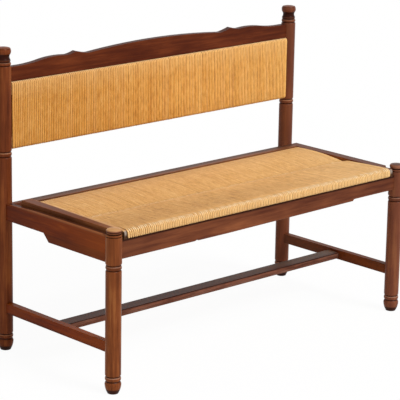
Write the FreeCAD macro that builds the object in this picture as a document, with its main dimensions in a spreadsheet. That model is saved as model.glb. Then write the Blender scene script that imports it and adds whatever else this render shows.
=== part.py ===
import FreeCAD, Part
import math
import operator
import os
from types import SimpleNamespace

import Sketcher

Vector = FreeCAD.Vector

# A bench with turned posts, a rush seat in a loose frame and a rush back panel.
# The origin is on the floor, in the middle of the four posts. X runs along the bench,
# the front is at -Y and Z is up. All sizes are in millimetres.

DRIVING_SIZES = {
    # Places of the four posts
    "post_span_long": 1151.0,
    "post_span_deep": 485.0,
    # Turned posts
    "post_dia": 45.2,
    "front_block_dia": 46.4,
    "back_post_height": 903.0,
    "foot_tip_dia": 32.4,
    "foot_tip_round": 2.4,
    "foot_swell_dia": 47.0,
    "foot_swell_height": 27.5,
    "foot_swell_bow": 1.5,
    "foot_ring_height": 43.7,
    # Turned ring: one bead between two coves
    "bead_height": 14.6,
    "bead_bow": 3.0,
    "cove_dia": 39.4,
    "cove_height": 5.2,
    "cove_bow": 0.8,
    "turned_top_dia": 5.0,
    "back_ring_drop": 12.0,
    "front_ring_drop": 11.1,
    # Finial of a back post
    "finial_height": 58.8,
    "finial_low_bead_height": 10.6,
    "finial_low_bead_bow": 2.4,
    "finial_high_bead_height": 8.5,
    "finial_high_bead_bow": 1.1,
    "finial_neck_height": 13.0,
    "finial_neck_bow": 1.9,
    "finial_knob_bow": 3.0,
    "finial_dome_height": 2.6,
    # Collar and button on a front post
    "block_edge_round": 1.5,
    "collar_groove_height": 2.4,
    "collar_height": 4.6,
    "button_neck_dia": 34.0,
    "button_neck_height": 2.6,
    "button_height": 13.4,
    "button_rim_dia": 39.0,
    "button_bow": 2.4,
    "button_dome_height": 2.2,
    # Heights of the seat: the frame bears on this level
    "bearing_height": 440.0,
    # Aprons
    "apron_thick": 20.0,
    "back_apron_height": 52.0,
    "front_apron_height": 54.2,
    "front_apron_taper_place": 150.0,
    "front_apron_taper": 5.2,
    "front_apron_step_place": 372.0,
    "front_apron_step": 5.3,
    "side_apron_rise": 12.0,
    "side_apron_height": 52.8,
    "side_apron_drop": 23.3,
    "side_apron_step_place": 51.0,
    "side_apron_fall_place": 90.0,
    "side_apron_fall": 5.0,
    "apron_edge_round": 2.5,
    "chip_place": 275.0,
    "chip_width": 16.0,
    "chip_depth": 4.5,
    # Stretchers
    "stretcher_thick": 22.0,
    "stretcher_bottom": 116.6,
    "end_stretcher_height": 30.5,
    "long_stretcher_rise": 3.9,
    "long_stretcher_height": 19.4,
    "long_stretcher_depth": 45.2,
    "stretcher_edge_round": 1.8,
    # Crest rail, its top outline given as rises above its ends
    "crest_thick": 20.6,
    "crest_end_height": 42.7,
    "crest_arch_rise": 19.2,
    "crest_valley_place": 268.0,
    "crest_valley_rise": 6.4,
    "crest_peak_place": 313.0,
    "crest_peak_rise": 17.0,
    "crest_dip_place": 347.0,
    "crest_dip_rise": 9.5,
    "crest_hump_reach": 117.5,
    "crest_hump_rise": 5.0,
    "crest_level_reach": 60.0,
    "crest_valley_bow": 1.0,
    "crest_dip_bow": 1.2,
    "crest_hump_bow": 4.2,
    "crest_shoulder_bow": 0.9,
    "crest_hollow_round": 40.0,
    "crest_peak_round": 4.0,
    "crest_edge_round": 1.4,
    # Back panel
    "panel_height": 197.7,
    "panel_thick": 30.0,
    "panel_forward": 2.3,
    "panel_edge_round": 9.0,
    "panel_end_round": 4.0,
    "panel_rail_height": 36.0,
    # Seat frame
    "frame_thick": 24.5,
    "stile_width": 33.0,
    "stile_side_gap": 1.5,
    "stile_edge_round": 2.0,
    "stile_corner_round": 8.0,
    "stile_notch_round": 3.0,
    "nose_width": 16.5,
    "nose_gap": 6.3,
    "nose_round": 9.0,
    "frame_back_gap": 54.5,
    "back_strip_width": 32.0,
    "front_rail_width": 36.0,
    "front_rail_height": 19.7,
    "rear_rail_width": 30.0,
    "rear_rail_height": 14.5,
    # Rush of the seat
    "rush_thick": 4.0,
    "roll_overhang": 5.5,
    "front_roll_round": 13.0,
    "rear_roll_round": 8.5,
    "roll_foot_round": 6.0,
    "crease_place": 54.0,
    "crease_depth": 15.0,
    "crease_wall": 26.0,
    "crease_lip_depth": 8.0,
    "crease_floor_rise": 5.7,
    "rear_crown_bow": 5.5,
    "front_crown_bow": 1.0,
    # Ledgers under the seat frame
    "ledger_width": 22.0,
    "ledger_height": 22.0,
    # Joints
    "housing_depth": 1.4,
    "tenon_thick": 12.0,
    "tenon_shoulder": 5.0,
    "tenon_length": 12.0,
    "dowel_dia": 8.0,
    "dowel_in_rail": 20.0,
    "dowel_in_post": 12.0,
    "frame_dowel_dia": 6.0,
    "frame_dowel_length": 24.0,
    # Screws
    "screw_dia": 4.0,
    "screw_head_dia": 8.0,
    "screw_head_height": 3.2,
    "ledger_screw_length": 34.0,
    "ledger_screw_inset": 40.0,
    "seat_screw_length": 36.0,
    # Clearances
    "joint_gap": 0.1,
    "soft_gap": 0.3,
}

OPERATIONS = {
    "+": operator.add,
    "-": operator.sub,
    "*": operator.mul,
    "/": operator.truediv,
}


class Size:
    """A length that knows its number and the formula that binds it to the sheet."""

    def __init__(self, number, formula=None):
        self.number = number
        self.formula = str(number) if formula is None else formula

    def __add__(self, other):
        return combine(self, "+", other)

    def __radd__(self, other):
        return combine(other, "+", self)

    def __sub__(self, other):
        return combine(self, "-", other)

    def __rsub__(self, other):
        return combine(other, "-", self)

    def __mul__(self, other):
        return combine(self, "*", other)

    def __rmul__(self, other):
        return combine(other, "*", self)

    def __truediv__(self, other):
        return combine(self, "/", other)

    def __neg__(self):
        return combine(0, "-", self)


def as_size(value):
    return value if isinstance(value, Size) else Size(value)


def combine(left, sign, right):
    left = as_size(left)
    right = as_size(right)
    number = OPERATIONS[sign](left.number, right.number)
    return Size(number, f"({left.formula} {sign} {right.formula})")


def root(size):
    return Size(math.sqrt(size.number), f"sqrt({size.formula})")


doc = FreeCAD.newDocument("rush_seat_bench")


def make_sheet():
    """Put the driving sizes in a sheet and give them back as sizes by name."""
    sheet = doc.addObject("Spreadsheet::Sheet", "dim")
    for row, (name, number) in enumerate(DRIVING_SIZES.items(), start=1):
        sheet.set(f"A{row}", name)
        sheet.set(f"B{row}", str(number))
        sheet.setAlias(f"B{row}", name)
    doc.recompute()
    sizes = {name: Size(float(sheet.get(name)), f"dim.{name}") for name in DRIVING_SIZES}
    return SimpleNamespace(**sizes)


dim = make_sheet()

# Sizes and places that several pieces share
SIDES = {"left": -1, "right": 1}
post_x = dim.post_span_long / 2
post_y = dim.post_span_deep / 2
post_r = dim.post_dia / 2
block_r = dim.front_block_dia / 2
cove_r = dim.cove_dia / 2
back_apron_bottom = dim.bearing_height - dim.back_apron_height
front_apron_low = dim.bearing_height - dim.front_apron_height
front_apron_high = front_apron_low + dim.front_apron_taper + dim.front_apron_step
side_apron_top = dim.bearing_height + dim.side_apron_rise
side_apron_back_top = side_apron_top - dim.side_apron_fall
side_apron_bottom = side_apron_top - dim.side_apron_height
side_apron_low = side_apron_bottom - dim.side_apron_drop
crest_end_top = dim.back_post_height - dim.finial_height
crest_bottom = crest_end_top - dim.crest_end_height
panel_top = crest_bottom - dim.soft_gap
panel_bottom = panel_top - dim.panel_height
panel_y = post_y - dim.panel_forward
panel_rail_thick = dim.panel_thick - 2 * dim.rush_thick
stile_outer = post_x - dim.apron_thick / 2 - dim.stile_side_gap
stile_inner = stile_outer - dim.stile_width
nose_outer = stile_inner + dim.nose_width
nose_back = block_r + dim.nose_gap - post_y
frame_front = -post_y - dim.apron_thick / 2
frame_back = post_y - dim.apron_thick / 2 - dim.frame_back_gap
frame_top = dim.bearing_height + dim.frame_thick
ledger_outer = post_x - dim.apron_thick / 2
ledger_inner = ledger_outer - dim.ledger_width
ledger_middle = (nose_back + frame_back) / 2
ledger_length = frame_back - nose_back
rush_bottom = dim.bearing_height + dim.soft_gap
rail_bottom = rush_bottom + dim.rush_thick
rush_front = frame_front - dim.roll_overhang
rush_rear = frame_back - dim.back_strip_width - dim.soft_gap
front_rail_y = rush_front + dim.rush_thick + dim.front_rail_width / 2
rear_rail_y = rush_rear - dim.rush_thick - dim.rear_rail_width / 2
back_strip_y = frame_back - dim.back_strip_width / 2


def reach_to_post(radius, thick, aside=0):
    """Distance from a post's axis to the end of a flat rail that is let into it."""
    half_width = thick / 2 + aside
    return root(radius * radius - half_width * half_width) - dim.housing_depth


front_apron_reach = reach_to_post(block_r, dim.apron_thick)
back_apron_reach = reach_to_post(post_r, dim.apron_thick)
stretcher_reach = reach_to_post(post_r, dim.stretcher_thick)
long_stretcher_middle = dim.stretcher_bottom + dim.long_stretcher_rise + dim.long_stretcher_height / 2
crest_reach = reach_to_post(post_r, dim.crest_thick)
panel_rail_reach = reach_to_post(post_r, panel_rail_thick, dim.panel_forward)


def bind(thing, **properties):
    """Bind properties to sizes; a double underscore stands for a dot in a property's name."""
    for name, size in properties.items():
        thing.setExpression(name.replace("__", "."), as_size(size).formula)


def place(thing, x, y, z):
    bind(thing, Placement__Base__x=x, Placement__Base__y=y, Placement__Base__z=z)
    return thing


def block(name, centre, size):
    """Box about a centre."""
    box = doc.addObject("Part::Box", name)
    bind(box, Length=size[0], Width=size[1], Height=size[2])
    return place(box, *[middle - whole / 2 for middle, whole in zip(centre, size)])


TURNS = {
    "+x": FreeCAD.Rotation(Vector(0, 1, 0), 90),
    "-x": FreeCAD.Rotation(Vector(0, 1, 0), -90),
    "+y": FreeCAD.Rotation(Vector(1, 0, 0), -90),
    "+z": FreeCAD.Rotation(),
}


def rod(name, axis, start, diameter, length):
    """Cylinder that starts at a point and runs along an axis."""
    cylinder = doc.addObject("Part::Cylinder", name)
    bind(cylinder, Radius=diameter / 2, Height=length)
    cylinder.Placement.Rotation = TURNS[axis]
    return place(cylinder, *start)


def join(name, pieces):
    fusion = doc.addObject("Part::MultiFuse", name)
    fusion.Shapes = pieces
    fusion.Refine = True
    return fusion


def group(name, pieces):
    """One node of separate solids."""
    compound = doc.addObject("Part::Compound", name)
    compound.Links = pieces
    return compound


def cut(name, base, tools):
    """The base less all of its tools."""
    piece = doc.addObject("Part::Cut", name)
    piece.Base = base
    piece.Tool = join(f"{name}_cuts", tools) if len(tools) > 1 else tools[0]
    piece.Refine = True
    return piece


def new_body(name):
    return doc.addObject("PartDesign::Body", name)


def sketch_on(body, role):
    """Sketch on one of the body's origin planes."""
    sketch = body.newObject("Sketcher::SketchObject", f"{body.Name}_outline")
    planes = [item for item in body.Origin.OriginFeatures if item.Role == role]
    sketch.AttachmentSupport = [(planes[0], "")]
    sketch.MapMode = "FlatFace"
    return sketch


def hold_point(sketch, side, end, across, up):
    """Hold one end of a side at its distances from the sketch's origin."""
    for kind, size, axis in (("DistanceX", across, -2), ("DistanceY", up, -1)):
        size = as_size(size)
        if size.formula == "0":
            sketch.addConstraint(Sketcher.Constraint("PointOnObject", side, end, axis))
            continue
        row = sketch.addConstraint(Sketcher.Constraint(kind, -1, 1, side, end, size.number))
        sketch.setExpression(f"Constraints[{row}]", size.formula)


def turns_left(points):
    """Whether a closed outline runs anticlockwise."""
    doubled_area = 0
    for first, second in zip(points, points[1:] + points[:1]):
        doubled_area += first.x * second.y - second.x * first.y
    return doubled_area > 0


def draw(sketch, corners):
    """Closed outline through corners (across, up) or (across, up, bow).

    The bow is how far the side to the next corner swells out of the outline. It is
    negative where that side is hollow.
    """
    corners = [[as_size(value) for value in corner] for corner in corners]
    points = [Vector(corner[0].number, corner[1].number, 0) for corner in corners]
    outward = 1 if turns_left(points) else -1
    ends = []
    for index, corner in enumerate(corners):
        start = points[index]
        finish = points[(index + 1) % len(points)]
        if len(corner) == 2:
            side = sketch.addGeometry(Part.LineSegment(start, finish))
            ends.append((side, 1, 2))
            continue
        after = corners[(index + 1) % len(points)]
        ends.append(draw_arc(sketch, corner, after, start, finish, outward))
    for index, (side, first, last) in enumerate(ends):
        hold_point(sketch, side, first, corners[index][0], corners[index][1])
        next_side, next_first, _ = ends[(index + 1) % len(ends)]
        sketch.addConstraint(Sketcher.Constraint("Coincident", side, last, next_side, next_first))


def draw_arc(sketch, corner, after, start, finish, outward):
    """Arc between two corners, with its radius worked out from its chord and bow."""
    bow = corner[2]
    chord = finish - start
    away = Vector(chord.y, -chord.x, 0).normalize() * outward
    middle = (start + finish) / 2 + away * bow.number
    hollow = bow.number * outward < 0
    arc = Part.Arc(finish, middle, start) if hollow else Part.Arc(start, middle, finish)
    side = sketch.addGeometry(arc)
    across = after[0] - corner[0]
    up = after[1] - corner[1]
    size = bow * -1 if bow.number < 0 else bow
    radius = ((across * across + up * up) / 4 + size * size) / (2 * size)
    row = sketch.addConstraint(Sketcher.Constraint("Radius", side, radius.number))
    sketch.setExpression(f"Constraints[{row}]", radius.formula)
    return (side, 2, 1) if hollow else (side, 1, 2)


def quarter_bow(radius):
    """Bow of a quarter circle."""
    return radius * (1 - math.sqrt(0.5))


def pad(body, sketch, length, middle=True):
    feature = body.newObject("PartDesign::Pad", f"{body.Name}_pad")
    feature.Profile = sketch
    if middle:
        feature.SideType = "Symmetric"
    bind(feature, Length=length)
    sketch.Visibility = False
    doc.recompute()
    return feature


def revolve(body, sketch):
    feature = body.newObject("PartDesign::Revolution", f"{body.Name}_turning")
    feature.Profile = sketch
    feature.ReferenceAxis = (sketch, ["V_Axis"])
    feature.Angle = 360
    sketch.Visibility = False
    doc.recompute()
    return feature


def edges_where(feature, test):
    """Names of the edges whose middle passes a test."""
    names = []
    for number, edge in enumerate(feature.Shape.Edges, start=1):
        middle = edge.valueAt((edge.FirstParameter + edge.LastParameter) / 2)
        if test(middle):
            names.append(f"Edge{number}")
    return names


def near(number, size):
    return abs(number - as_size(size).number) < 1e-4


def ease(body, radius, test):
    """Round the edges of the body's last feature whose middles pass a test."""
    base = body.Tip
    fillet = body.newObject("PartDesign::Fillet", f"{body.Name}_rounding")
    fillet.Base = (base, edges_where(base, test))
    bind(fillet, Radius=radius)
    doc.recompute()
    return fillet


def round_bar(name, role, across, up, radius, length):
    """Bar with rounded arrises, centred on its body's origin; its section is on a plane."""
    body = new_body(name)
    sketch = sketch_on(body, role)
    half_across = across / 2
    half_up = up / 2
    bow = quarter_bow(radius)
    draw(sketch, [
        (radius - half_across, -half_up),
        (half_across - radius, -half_up, bow),
        (half_across, radius - half_up),
        (half_across, half_up - radius, bow),
        (half_across - radius, half_up),
        (radius - half_across, half_up, bow),
        (-half_across, half_up - radius),
        (-half_across, radius - half_up, bow),
    ])
    pad(body, sketch, length)
    return body


def grown(size, gap):
    """A size with a gap on both sides."""
    return size + 2 * gap


# Turned posts


def foot_profile():
    """Half outline of the foot and its ring, from the axis on the floor up to the shaft."""
    ring_low = dim.foot_ring_height - dim.bead_height / 2
    ring_high = dim.foot_ring_height + dim.bead_height / 2
    tip_r = dim.foot_tip_dia / 2
    return [
        (0, 0),
        (tip_r - dim.foot_tip_round, 0, quarter_bow(dim.foot_tip_round)),
        (tip_r, dim.foot_tip_round, dim.foot_swell_bow),
        (dim.foot_swell_dia / 2, dim.foot_swell_height, dim.cove_bow),
        (cove_r, ring_low, dim.bead_bow),
        (cove_r, ring_high, dim.cove_bow),
        (post_r, ring_high + dim.cove_height),
    ]


def ring_profile(middle, above_r):
    """Half outline of a bead between two coves, from the shaft below to the shaft above."""
    low = middle - dim.bead_height / 2
    high = middle + dim.bead_height / 2
    return [
        (post_r, low - dim.cove_height, dim.cove_bow),
        (cove_r, low, dim.bead_bow),
        (cove_r, high, dim.cove_bow),
        (above_r, high + dim.cove_height),
    ]


def finial_profile():
    """Half outline of the finial, from the shaft up to the axis."""
    low_bead = crest_end_top + dim.cove_height
    high_bead = low_bead + dim.finial_low_bead_height
    neck = high_bead + dim.finial_high_bead_height
    knob = neck + dim.finial_neck_height
    rim = dim.back_post_height - dim.finial_dome_height
    return [
        (post_r, crest_end_top, dim.cove_bow),
        (cove_r, low_bead, dim.finial_low_bead_bow),
        (cove_r, high_bead, dim.finial_high_bead_bow),
        (cove_r, neck, -dim.finial_neck_bow),
        (cove_r, knob, dim.finial_knob_bow),
        (cove_r, rim, dim.finial_dome_height / 4),
        (dim.turned_top_dia / 2, dim.back_post_height),
        (0, dim.back_post_height),
    ]


def button_profile():
    """Half outline of the collar and button on a front post, from the block up to the axis."""
    neck_r = dim.button_neck_dia / 2
    rim_r = dim.button_rim_dia / 2
    edge_bow = quarter_bow(dim.block_edge_round)
    collar_low = side_apron_top + dim.collar_groove_height
    collar_top = collar_low + dim.collar_height
    neck_top = collar_top + dim.button_neck_height
    top = neck_top + dim.button_height
    return [
        (block_r, side_apron_top - dim.block_edge_round, edge_bow),
        (block_r - dim.block_edge_round, side_apron_top),
        (cove_r, side_apron_top),
        (cove_r, collar_low),
        (post_r, collar_low),
        (post_r, collar_top - dim.block_edge_round, edge_bow),
        (post_r - dim.block_edge_round, collar_top),
        (neck_r, collar_top),
        (neck_r, neck_top),
        (rim_r, neck_top, dim.button_bow),
        (rim_r, top - dim.button_dome_height, dim.button_dome_height / 4),
        (dim.turned_top_dia / 2, top),
        (0, top),
    ]


def turned_post(name, corners, side, y):
    """Solid of revolution that stands at one corner of the bench."""
    body = new_body(name)
    sketch = sketch_on(body, "XZ_Plane")
    draw(sketch, corners)
    revolve(body, sketch)
    return place(body, side * post_x, y, 0)


def housing_x(name, side, y, reach, thick, bottom, top):
    """Pocket in a post for the flat end of a rail that runs along X."""
    x = side * (post_x - reach + dim.joint_gap - post_r / 2)
    size = (post_r, grown(thick, dim.joint_gap), grown(top - bottom, dim.joint_gap))
    return block(name, (x, y, (bottom + top) / 2), size)


def housing_y(name, side, end, reach, thick, bottom, top):
    """Pocket in a post for the flat end of a rail that runs along Y; end is -1 at the front."""
    y = end * (post_y - reach + dim.joint_gap - post_r / 2)
    size = (grown(thick, dim.joint_gap), post_r, grown(top - bottom, dim.joint_gap))
    return block(name, (side * post_x, y, (bottom + top) / 2), size)


def tenons_x(name, y, shoulder_x, bottom, top, gap):
    """Bar through a rail along X whose two ends are its tenons or, with a gap, their mortises."""
    length = 2 * (shoulder_x + dim.tenon_length + gap)
    height = grown(top - bottom - 2 * dim.tenon_shoulder, gap)
    return block(name, (0, y, (bottom + top) / 2), (length, grown(dim.tenon_thick, gap), height))


def tenons_y(name, x, shoulder_y, bottom, top, gap):
    """The same bar for a rail that runs along Y."""
    length = 2 * (shoulder_y + dim.tenon_length + gap)
    height = grown(top - bottom - 2 * dim.tenon_shoulder, gap)
    return block(name, (x, 0, (bottom + top) / 2), (grown(dim.tenon_thick, gap), length, height))


def end_stretcher_tenons(name, side, gap):
    return tenons_y(name, side * post_x, post_y - stretcher_reach, dim.stretcher_bottom,
                    dim.stretcher_bottom + dim.end_stretcher_height, gap)


def long_stretcher_tenons(name, gap):
    """Flat bar through the long stretcher whose two ends are its tenons or, with a gap, their mortises."""
    length = 2 * (post_x - dim.stretcher_thick / 2 + dim.tenon_length + gap)
    depth = grown(dim.long_stretcher_depth - 2 * dim.tenon_shoulder, gap)
    height = grown(dim.long_stretcher_height - 2 * dim.tenon_shoulder, gap)
    return block(name, (0, 0, long_stretcher_middle), (length, depth, height))


def panel_rail_bottom(level):
    if level == "top":
        return panel_top - dim.rush_thick - dim.panel_rail_height
    return panel_bottom + dim.rush_thick


def panel_rail_tenons(name, level, gap):
    bottom = panel_rail_bottom(level)
    return tenons_x(name, panel_y, post_x - panel_rail_reach, bottom,
                    bottom + dim.panel_rail_height, gap)


# Dowels: each is an axis, a start point and a length, the same for the peg and its holes


def quarter_heights(bottom, top):
    """Two heights that share out a joint's height."""
    return (bottom * 3 + top) / 4, (bottom + top * 3) / 4


def dowels_x(side, y, reach, bottom, top):
    """Two dowels at one end of a rail that runs along X."""
    end = post_x - reach
    start = end - dim.dowel_in_rail if side > 0 else -end - dim.dowel_in_post
    length = dim.dowel_in_rail + dim.dowel_in_post
    return [("+x", (start, y, height), length) for height in quarter_heights(bottom, top)]


def dowels_y(side, end, reach, bottom, top):
    """Two dowels at one end of a rail that runs along Y; end is -1 at the front."""
    end_y = post_y - reach
    start = end_y - dim.dowel_in_rail if end > 0 else -end_y - dim.dowel_in_post
    length = dim.dowel_in_rail + dim.dowel_in_post
    x = side * post_x
    return [("+y", (x, start, height), length) for height in quarter_heights(bottom, top)]


def front_apron_dowels(side):
    bottom = front_apron_low if side < 0 else front_apron_high
    return dowels_x(side, -post_y, front_apron_reach, bottom, dim.bearing_height)


def back_apron_dowels(side):
    return dowels_x(side, post_y, back_apron_reach, back_apron_bottom, dim.bearing_height)


def crest_rail_dowels(side):
    return dowels_x(side, post_y, crest_reach, crest_bottom, crest_end_top)


def side_apron_front_bottom(side):
    """Lower edge of a side apron at its front end: only the left one is deeper there."""
    return side_apron_low if side < 0 else side_apron_bottom


def side_apron_front_dowels(side):
    return dowels_y(side, -1, front_apron_reach, side_apron_front_bottom(side), side_apron_top)


def side_apron_back_dowels(side):
    return dowels_y(side, 1, back_apron_reach, side_apron_bottom, side_apron_back_top)


def frame_dowels(side, y, width, bottom, top):
    """Two dowels between one end of a seat rail and its stile."""
    length = dim.frame_dowel_length
    start = side * stile_inner - length / 2
    height = (bottom + top) / 2
    return [("+x", (start, y + width / 4 * step, height), length) for step in (-1, 1)]


def front_rail_dowels(side):
    return frame_dowels(side, front_rail_y, dim.front_rail_width,
                        rail_bottom, rail_bottom + dim.front_rail_height)


def rear_rail_dowels(side):
    return frame_dowels(side, rear_rail_y, dim.rear_rail_width,
                        rail_bottom, rail_bottom + dim.rear_rail_height)


def back_strip_dowels(side):
    return frame_dowels(side, back_strip_y, dim.back_strip_width, dim.bearing_height, frame_top)


def pegs(name, dowels, diameter):
    """The dowels of a list, as one node."""
    pieces = []
    for number, (axis, start, length) in enumerate(dowels, start=1):
        pieces.append(rod(f"{name}_peg_{number}", axis, start, diameter, length))
    return group(name, pieces)


def peg_holes(name, dowels, diameter):
    """Holes for the dowels of a list, a little wider and deeper than the pegs."""
    tools = []
    for number, (axis, (x, y, z), length) in enumerate(dowels, start=1):
        start = (x - dim.joint_gap, y, z) if axis == "+x" else (x, y - dim.joint_gap, z)
        tools.append(rod(f"{name}_hole_{number}", axis, start, grown(diameter, dim.joint_gap),
                         grown(length, dim.joint_gap)))
    return tools


def front_post(label):
    side = SIDES[label]
    name = f"front_post_{label}"
    apron_bottom = front_apron_low if side < 0 else front_apron_high
    ring_middle = side_apron_low - dim.front_ring_drop
    corners = foot_profile() + ring_profile(ring_middle, block_r) + button_profile()
    body = turned_post(f"{name}_turned", corners, side, -post_y)
    stretcher_top = dim.stretcher_bottom + dim.end_stretcher_height
    dowels = front_apron_dowels(side) + side_apron_front_dowels(side)
    return cut(name, body, [
        housing_x(f"{name}_apron_housing", side, -post_y, front_apron_reach,
                  dim.apron_thick, apron_bottom, dim.bearing_height),
        housing_y(f"{name}_side_housing", side, -1, front_apron_reach,
                  dim.apron_thick, side_apron_front_bottom(side), side_apron_top),
        housing_y(f"{name}_stretcher_housing", side, -1, stretcher_reach,
                  dim.stretcher_thick, dim.stretcher_bottom, stretcher_top),
        end_stretcher_tenons(f"{name}_stretcher_mortise", side, dim.joint_gap),
    ] + peg_holes(name, dowels, dim.dowel_dia))


def back_post(label):
    side = SIDES[label]
    name = f"back_post_{label}"
    ring_middle = panel_bottom - dim.back_ring_drop
    corners = foot_profile() + ring_profile(ring_middle, post_r) + finial_profile()
    body = turned_post(f"{name}_turned", corners, side, post_y)
    stretcher_top = dim.stretcher_bottom + dim.end_stretcher_height
    dowels = back_apron_dowels(side) + side_apron_back_dowels(side) + crest_rail_dowels(side)
    tools = [
        housing_x(f"{name}_apron_housing", side, post_y, back_apron_reach,
                  dim.apron_thick, back_apron_bottom, dim.bearing_height),
        housing_y(f"{name}_side_housing", side, 1, back_apron_reach,
                  dim.apron_thick, side_apron_bottom, side_apron_back_top),
        housing_y(f"{name}_stretcher_housing", side, 1, stretcher_reach,
                  dim.stretcher_thick, dim.stretcher_bottom, stretcher_top),
        end_stretcher_tenons(f"{name}_stretcher_mortise", side, dim.joint_gap),
        housing_x(f"{name}_crest_housing", side, post_y, crest_reach,
                  dim.crest_thick, crest_bottom, crest_end_top),
    ]
    for level in ("top", "bottom"):
        bottom = panel_rail_bottom(level)
        tools.append(housing_x(f"{name}_{level}_rail_housing", side, panel_y, panel_rail_reach,
                               panel_rail_thick, bottom, bottom + dim.panel_rail_height))
        tools.append(panel_rail_tenons(f"{name}_{level}_rail_mortise", level, dim.joint_gap))
    return cut(name, body, tools + peg_holes(name, dowels, dim.dowel_dia))


# Aprons


def apron_board(name, reach, y, lower_edge):
    """Board between two posts, with all its long arrises eased."""
    body = new_body(f"{name}_board")
    sketch = sketch_on(body, "XZ_Plane")
    end = post_x - reach
    half_thick = dim.apron_thick / 2
    draw(sketch, lower_edge + [
        (end, dim.bearing_height),
        (-end, dim.bearing_height),
    ])
    pad(body, sketch, dim.apron_thick)
    ease(body, dim.apron_edge_round,
         lambda middle: near(abs(middle.y), half_thick) and not near(abs(middle.x), end))
    return place(body, 0, y, 0)


def chip():
    """Small V-shaped chip out of the front apron's lower edge."""
    body = new_body("front_apron_chip")
    sketch = sketch_on(body, "XZ_Plane")
    low_x = -dim.chip_place - dim.chip_width / 2
    high_x = -dim.chip_place + dim.chip_width / 2
    draw(sketch, [
        (low_x, front_apron_low - dim.chip_depth),
        (high_x, front_apron_low - dim.chip_depth),
        (high_x, front_apron_low),
        ((high_x - dim.chip_place) / 2, front_apron_low + dim.chip_depth),
        (low_x, front_apron_low),
    ])
    pad(body, sketch, 2 * dim.apron_thick)
    return place(body, 0, -post_y, 0)


def front_apron():
    """Board under the front of the seat; its lower edge rises to a small step at the right."""
    name = "front_apron"
    end = post_x - front_apron_reach
    step_low = front_apron_high - dim.front_apron_step
    board = apron_board(name, front_apron_reach, -post_y, [
        (-end, front_apron_low),
        (-dim.front_apron_taper_place, front_apron_low),
        (dim.front_apron_step_place, step_low),
        (dim.front_apron_step_place + dim.front_apron_step, front_apron_high),
        (end, front_apron_high),
    ])
    dowels = front_apron_dowels(-1) + front_apron_dowels(1)
    return cut(name, board, [chip()] + peg_holes(name, dowels, dim.dowel_dia))


def back_apron():
    name = "back_apron"
    end = post_x - back_apron_reach
    board = apron_board(name, back_apron_reach, post_y,
                        [(-end, back_apron_bottom), (end, back_apron_bottom)])
    dowels = back_apron_dowels(-1) + back_apron_dowels(1)
    return cut(name, board, peg_holes(name, dowels, dim.dowel_dia))


def side_apron(label):
    """Board between a front and a back post, worn down at its back end; the left one is deeper in front."""
    side = SIDES[label]
    name = f"{label}_apron"
    body = new_body(f"{name}_board")
    sketch = sketch_on(body, "YZ_Plane")
    front = front_apron_reach - post_y
    back = post_y - back_apron_reach
    half_thick = dim.apron_thick / 2
    lower_edge = [(front, side_apron_bottom)]
    if side < 0:
        lower_edge = [
            (front, side_apron_low),
            (dim.side_apron_step_place - dim.side_apron_drop, side_apron_low),
            (dim.side_apron_step_place, side_apron_bottom),
        ]
    draw(sketch, lower_edge + [
        (back, side_apron_bottom),
        (back, side_apron_back_top),
        (post_y - post_r, side_apron_back_top),
        (dim.side_apron_fall_place, side_apron_top),
        (front, side_apron_top),
    ])
    pad(body, sketch, dim.apron_thick)
    ease(body, dim.apron_edge_round,
         lambda middle: near(abs(middle.x), half_thick) and middle.z > dim.bearing_height.number)
    place(body, side * post_x, 0, 0)
    dowels = side_apron_front_dowels(side) + side_apron_back_dowels(side)
    screw_holes = ledger_screws(f"{name}_hole", side, dim.joint_gap)
    return cut(name, body, peg_holes(name, dowels, dim.dowel_dia) + screw_holes)


# Stretchers


def end_stretcher(label):
    """Rail between a front and a back post, with a mortise for the long stretcher."""
    side = SIDES[label]
    name = f"{label}_stretcher"
    bar = round_bar(f"{name}_bar", "XZ_Plane", dim.stretcher_thick, dim.end_stretcher_height,
                    dim.stretcher_edge_round, 2 * (post_y - stretcher_reach))
    place(bar, side * post_x, 0, dim.stretcher_bottom + dim.end_stretcher_height / 2)
    tenoned = join(f"{name}_tenoned", [bar, end_stretcher_tenons(f"{name}_tenons", side, 0)])
    return cut(name, tenoned, [long_stretcher_tenons(f"{name}_mortise", dim.joint_gap)])


def long_stretcher():
    name = "long_stretcher"
    bar = round_bar(f"{name}_bar", "YZ_Plane", dim.long_stretcher_depth, dim.long_stretcher_height,
                    dim.stretcher_edge_round, 2 * post_x - dim.stretcher_thick)
    place(bar, 0, 0, long_stretcher_middle)
    return join(name, [bar, long_stretcher_tenons(f"{name}_tenons", 0)])


# Back


def crest_top():
    """Corners of the crest rail's top outline right of the middle, from its end inwards."""
    top = crest_end_top
    return [
        (post_x - crest_reach, top),
        (post_x - dim.crest_level_reach, top, -dim.crest_shoulder_bow),
        (post_x - dim.crest_hump_reach, top + dim.crest_hump_rise, dim.crest_hump_bow),
        (dim.crest_dip_place, top + dim.crest_dip_rise, -dim.crest_dip_bow),
        (dim.crest_peak_place, top + dim.crest_peak_rise, -dim.crest_valley_bow),
        (dim.crest_valley_place, top + dim.crest_valley_rise,
         dim.crest_arch_rise - dim.crest_valley_rise),
    ]


def mirrored(corners):
    """The corners on the other side, in order, with each bow moved to where its side begins."""
    turned = []
    for index in range(len(corners) - 1, -1, -1):
        x, z = corners[index][:2]
        bow = corners[index - 1][2:] if index > 0 else ()
        turned.append((-x, z, *bow))
    return turned


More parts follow.
